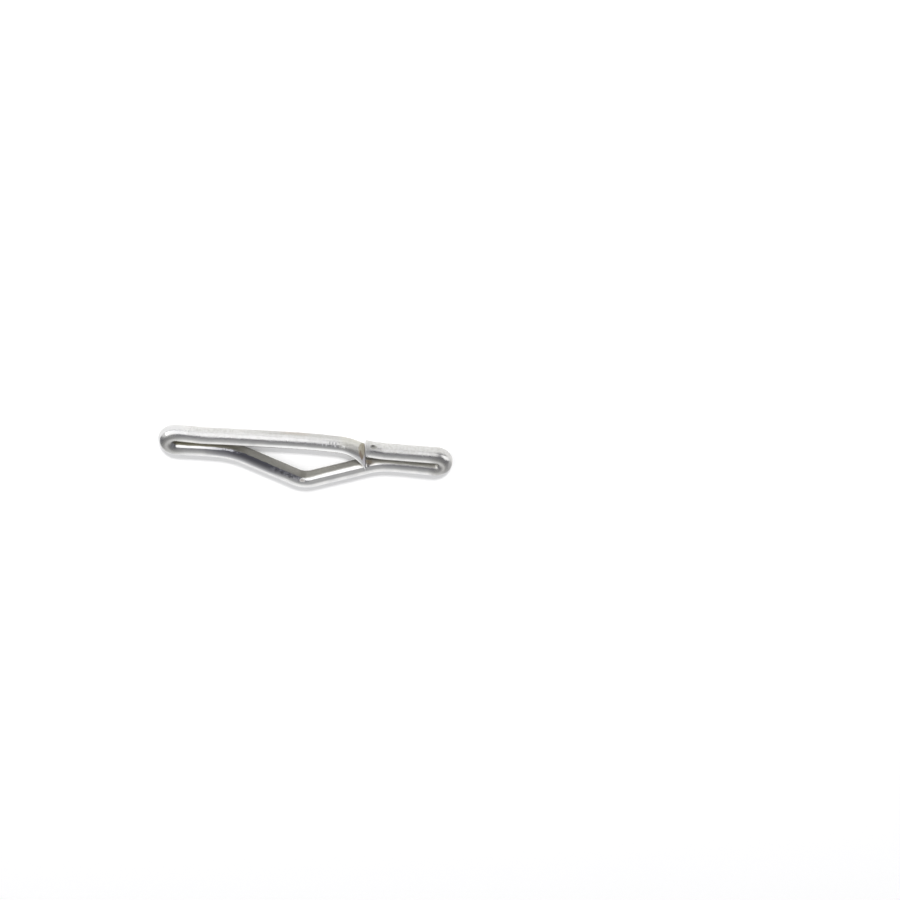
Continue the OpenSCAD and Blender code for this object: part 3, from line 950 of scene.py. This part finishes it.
def studio_world():
    """Studio walls and ceiling: white in the middle of the far side, and darker overhead, to both
    sides of it and to the near right, where the wire's dark bands come from."""
    world = bpy.data.worlds.new("studio")
    world.use_nodes = True
    tree = world.node_tree
    way = add(tree, "ShaderNodeTexCoord").outputs["Generated"]
    axes = add(tree, "ShaderNodeSeparateXYZ", {0: way}).outputs
    far_side = ramp(tree, axes["Y"], 0.0, 0.6)
    near_tilt = calc(tree, "MULTIPLY", axes["X"], 0.5)
    far_tilt = calc(tree, "MULTIPLY", calc(tree, "ABSOLUTE", axes["X"]), -1.4)
    level = add(tree, "ShaderNodeVectorMath", {0: way, 1: (0, 0.85, -0.2)},
                operation="DOT_PRODUCT").outputs["Value"]
    farness = calc(tree, "ADD", level, add(tree, "ShaderNodeMix", {0: far_side, 2: near_tilt,
                                                                   3: far_tilt}).outputs[0])
    share = add(tree, "ShaderNodeMapRange", {"Value": farness, "From Min": -1.0,
                                             "From Max": 1.0}).outputs[0]
    tone = add(tree, "ShaderNodeValToRGB", {0: share})
    stops = [(0.10, (0.13, 0.13, 0.15)), (0.25, (0.24, 0.24, 0.255)), (0.42, (0.35, 0.35, 0.355)),
             (0.57, (0.50, 0.50, 0.50)), (0.70, (0.82, 0.82, 0.82)), (0.82, (1.0, 1.0, 1.0))]
    while len(tone.color_ramp.elements) < len(stops):
        tone.color_ramp.elements.new(0.5)
    for element, (place, colour) in zip(tone.color_ramp.elements, stops):
        element.position = place
        element.color = (*colour, 1)
    tree.links.new(tone.outputs[0], tree.nodes["Background"].inputs["Color"])
    return world


def soft_box(context, name, rise, heading, distance, size, radiance):
    """A rectangular lamp that faces the clasp, with the given brightness where metal mirrors it."""
    lamp = bpy.data.lights.new(name, "AREA")
    lamp.shape = "RECTANGLE"
    lamp.size, lamp.size_y = size
    lamp.energy = radiance * math.pi * size[0] * size[1]
    back = Vector((math.sin(heading) * math.cos(rise), -math.cos(heading) * math.cos(rise),
                   math.sin(rise)))
    box = bpy.data.objects.new(name, lamp)
    box.location = back * distance
    box.rotation_euler = back.to_track_quat("Z", "Y").to_euler()
    context.collection.objects.link(box)
    return box


class SetStage(bpy.types.Operator):
    """Lay the pale floor and set the lamps, the world and the camera"""
    bl_idname = "clasp.set_stage"
    bl_label = "Set the stage"

    def execute(self, context):
        settings = context.scene.clasp_stage
        bm = bmesh.new()
        bmesh.ops.create_grid(bm, x_segments=1, y_segments=1, size=1.5)
        mesh = bpy.data.meshes.new("floor")
        bm.to_mesh(mesh)
        bm.free()
        floor = bpy.data.objects.new("floor", mesh)
        mesh.materials.append(floor_material(settings))
        context.collection.objects.link(floor)

        context.scene.world = studio_world()
        soft_box(context, "near_left_soft_box", rise=math.radians(31), heading=math.radians(32),
                 distance=0.6, size=(1.12, 0.6), radiance=1.15)
        lamp = soft_box(context, "near_lamp", rise=math.radians(30.5), heading=0, distance=1.6,
                        size=(0.12, 0.12), radiance=630)
        lamp.visible_glossy = False

        self.set_camera(context, settings)
        context.scene.view_settings.view_transform = "Standard"
        return {"FINISHED"}

    def set_camera(self, context, settings):
        """Sets the camera on the line of sight, upside down, so that the near side is at the top of
        the picture, and turns it so that the clasp falls left of the middle and a little below."""
        lens = bpy.data.cameras.new("camera")
        lens.lens, lens.sensor_width = LENS, SENSOR
        lens.clip_start, lens.clip_end = 0.01, 10
        camera = bpy.data.objects.new("camera", lens)
        rise, slope = settings.sight_rise, settings.picture_slope
        back = Vector((0, -math.cos(rise), math.sin(rise)))
        level_right = Vector((-1, 0, 0))
        level_up = back.cross(level_right)
        right = level_right * math.cos(slope) + level_up * math.sin(slope)
        look = Matrix((right, back.cross(right), back)).transposed()
        lens_pixels = LENS / SENSOR * PICTURE_SIDE
        pan = Matrix.Rotation(-math.atan(LEFT_OF_MIDDLE / lens_pixels), 3, "Y")
        tilt = Matrix.Rotation(math.atan(BELOW_MIDDLE / lens_pixels), 3, "X")
        wire_height = context.scene.clasp_sizes.wire_diameter / 2
        place = back * settings.sight_distance + UP * wire_height
        camera.matrix_world = Matrix.Translation(place) @ (look @ pan @ tilt).to_4x4()
        context.collection.objects.link(camera)
        context.scene.camera = camera


class ClaspPanel(bpy.types.Panel):
    """Steps that make the clasp and its stage"""
    bl_idname = "CLASP_PT_steps"
    bl_label = "Tufting clasp"
    bl_space_type = "VIEW_3D"
    bl_region_type = "UI"
    bl_category = "Clasp"

    def draw(self, context):
        layout = self.layout
        scene = context.scene
        for settings in (scene.clasp_sizes, scene.clasp_colours, scene.clasp_stage):
            box = layout.box()
            for name in settings.bl_rna.properties.keys():
                if name not in ("rna_type", "name"):
                    box.prop(settings, name)
        for step in STEPS:
            layout.operator(step.bl_idname)


STEPS = (BendClaspWire, SetStage)
CLASSES = (ClaspSizes, ClaspColours, StageSettings, *STEPS, ClaspPanel)


def register():
    for cls in CLASSES:
        bpy.utils.register_class(cls)
    bpy.types.Scene.clasp_sizes = bpy.props.PointerProperty(type=ClaspSizes)
    bpy.types.Scene.clasp_colours = bpy.props.PointerProperty(type=ClaspColours)
    bpy.types.Scene.clasp_stage = bpy.props.PointerProperty(type=StageSettings)


def unregister():
    del bpy.types.Scene.clasp_sizes, bpy.types.Scene.clasp_colours, bpy.types.Scene.clasp_stage
    for cls in reversed(CLASSES):
        bpy.utils.unregister_class(cls)


def main():
    register()
    bpy.ops.clasp.bend_wire()
    bpy.ops.clasp.set_stage()


if __name__ == "__main__":
    main()
